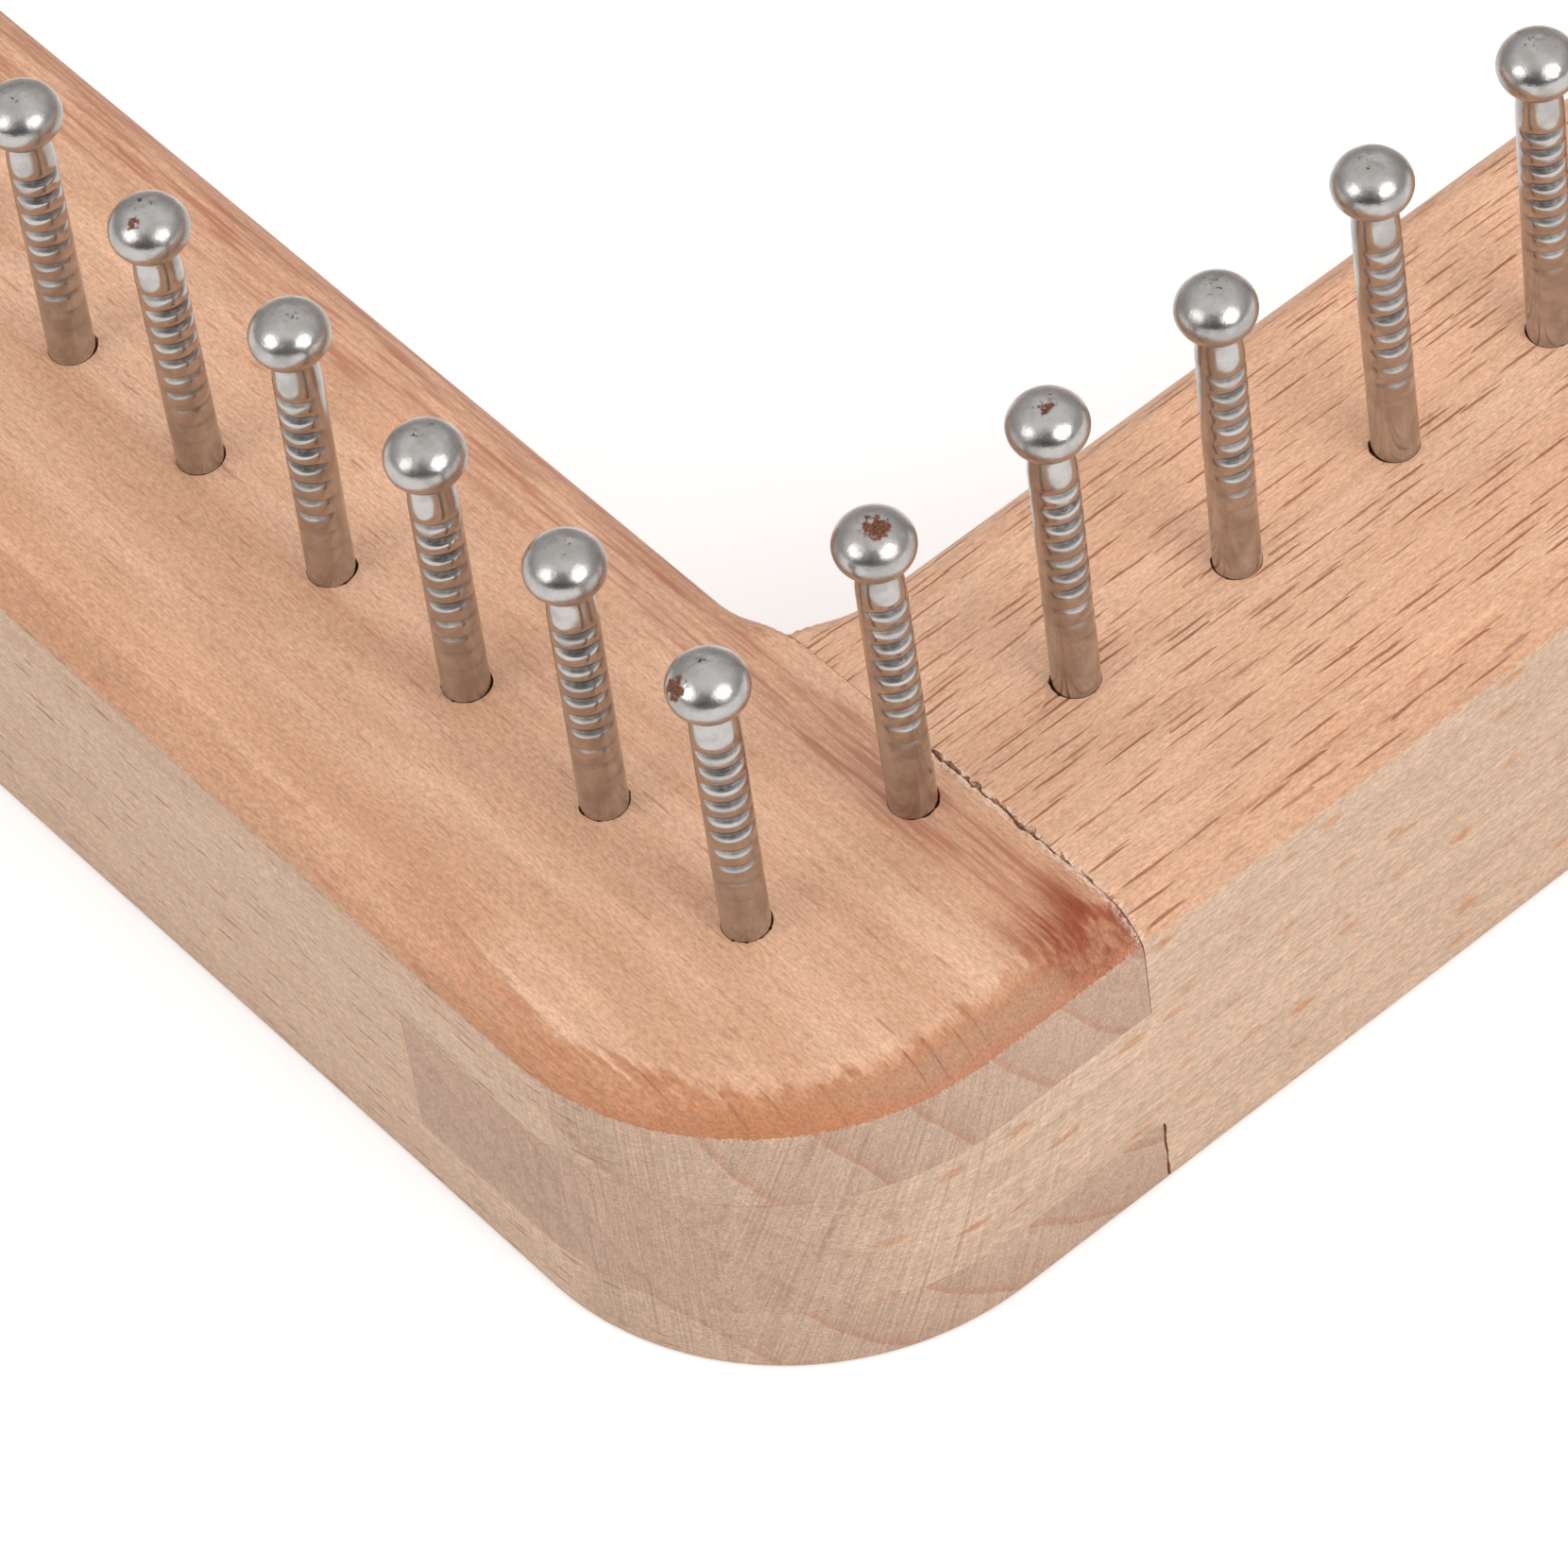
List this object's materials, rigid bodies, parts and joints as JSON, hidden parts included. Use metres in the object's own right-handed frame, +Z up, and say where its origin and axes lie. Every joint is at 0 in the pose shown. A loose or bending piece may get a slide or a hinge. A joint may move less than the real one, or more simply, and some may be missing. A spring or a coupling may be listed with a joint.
{
  "type": "potholder loom",
  "caption": "Square wooden frame loom with round-headed steel nails round its top, which hold stretchy loops while they are woven into a mat.",
  "frame": {"origin": "centre of the frame on the flat underside that it rests on", "axes": "+Z up, the way the nails stand; +X along the tenon rails, +Y along the fork rails, whose cheeks wrap the corners"},
  "size_m": [0.1938, 0.1954, 0.0384],
  "materials": {
    "beech": "sanded, oiled",
    "nail_steel": "bright, lightly worn"
  },
  "bodies": {
    "root": {"fork_rail_left": "beech", "fork_rail_right": "beech", "tenon_rail_front": "beech", "tenon_rail_back": "beech", "corner_nail_front_left": "nail_steel", "corner_nail_front_right": "nail_steel", "corner_nail_back_right": "nail_steel", "corner_nail_back_left": "nail_steel", "nails_front_1": "nail_steel", "nails_front_2": "nail_steel", "nails_front_3": "nail_steel", "nails_front_4": "nail_steel", "nails_right_1": "nail_steel", "nails_right_2": "nail_steel", "nails_right_3": "nail_steel", "nails_right_4": "nail_steel", "nails_back_1": "nail_steel", "nails_back_2": "nail_steel", "nails_back_3": "nail_steel", "nails_back_4": "nail_steel", "nails_left_1": "nail_steel", "nails_left_2": "nail_steel", "nails_left_3": "nail_steel", "nails_left_4": "nail_steel"}
  },
  "joints": []
}
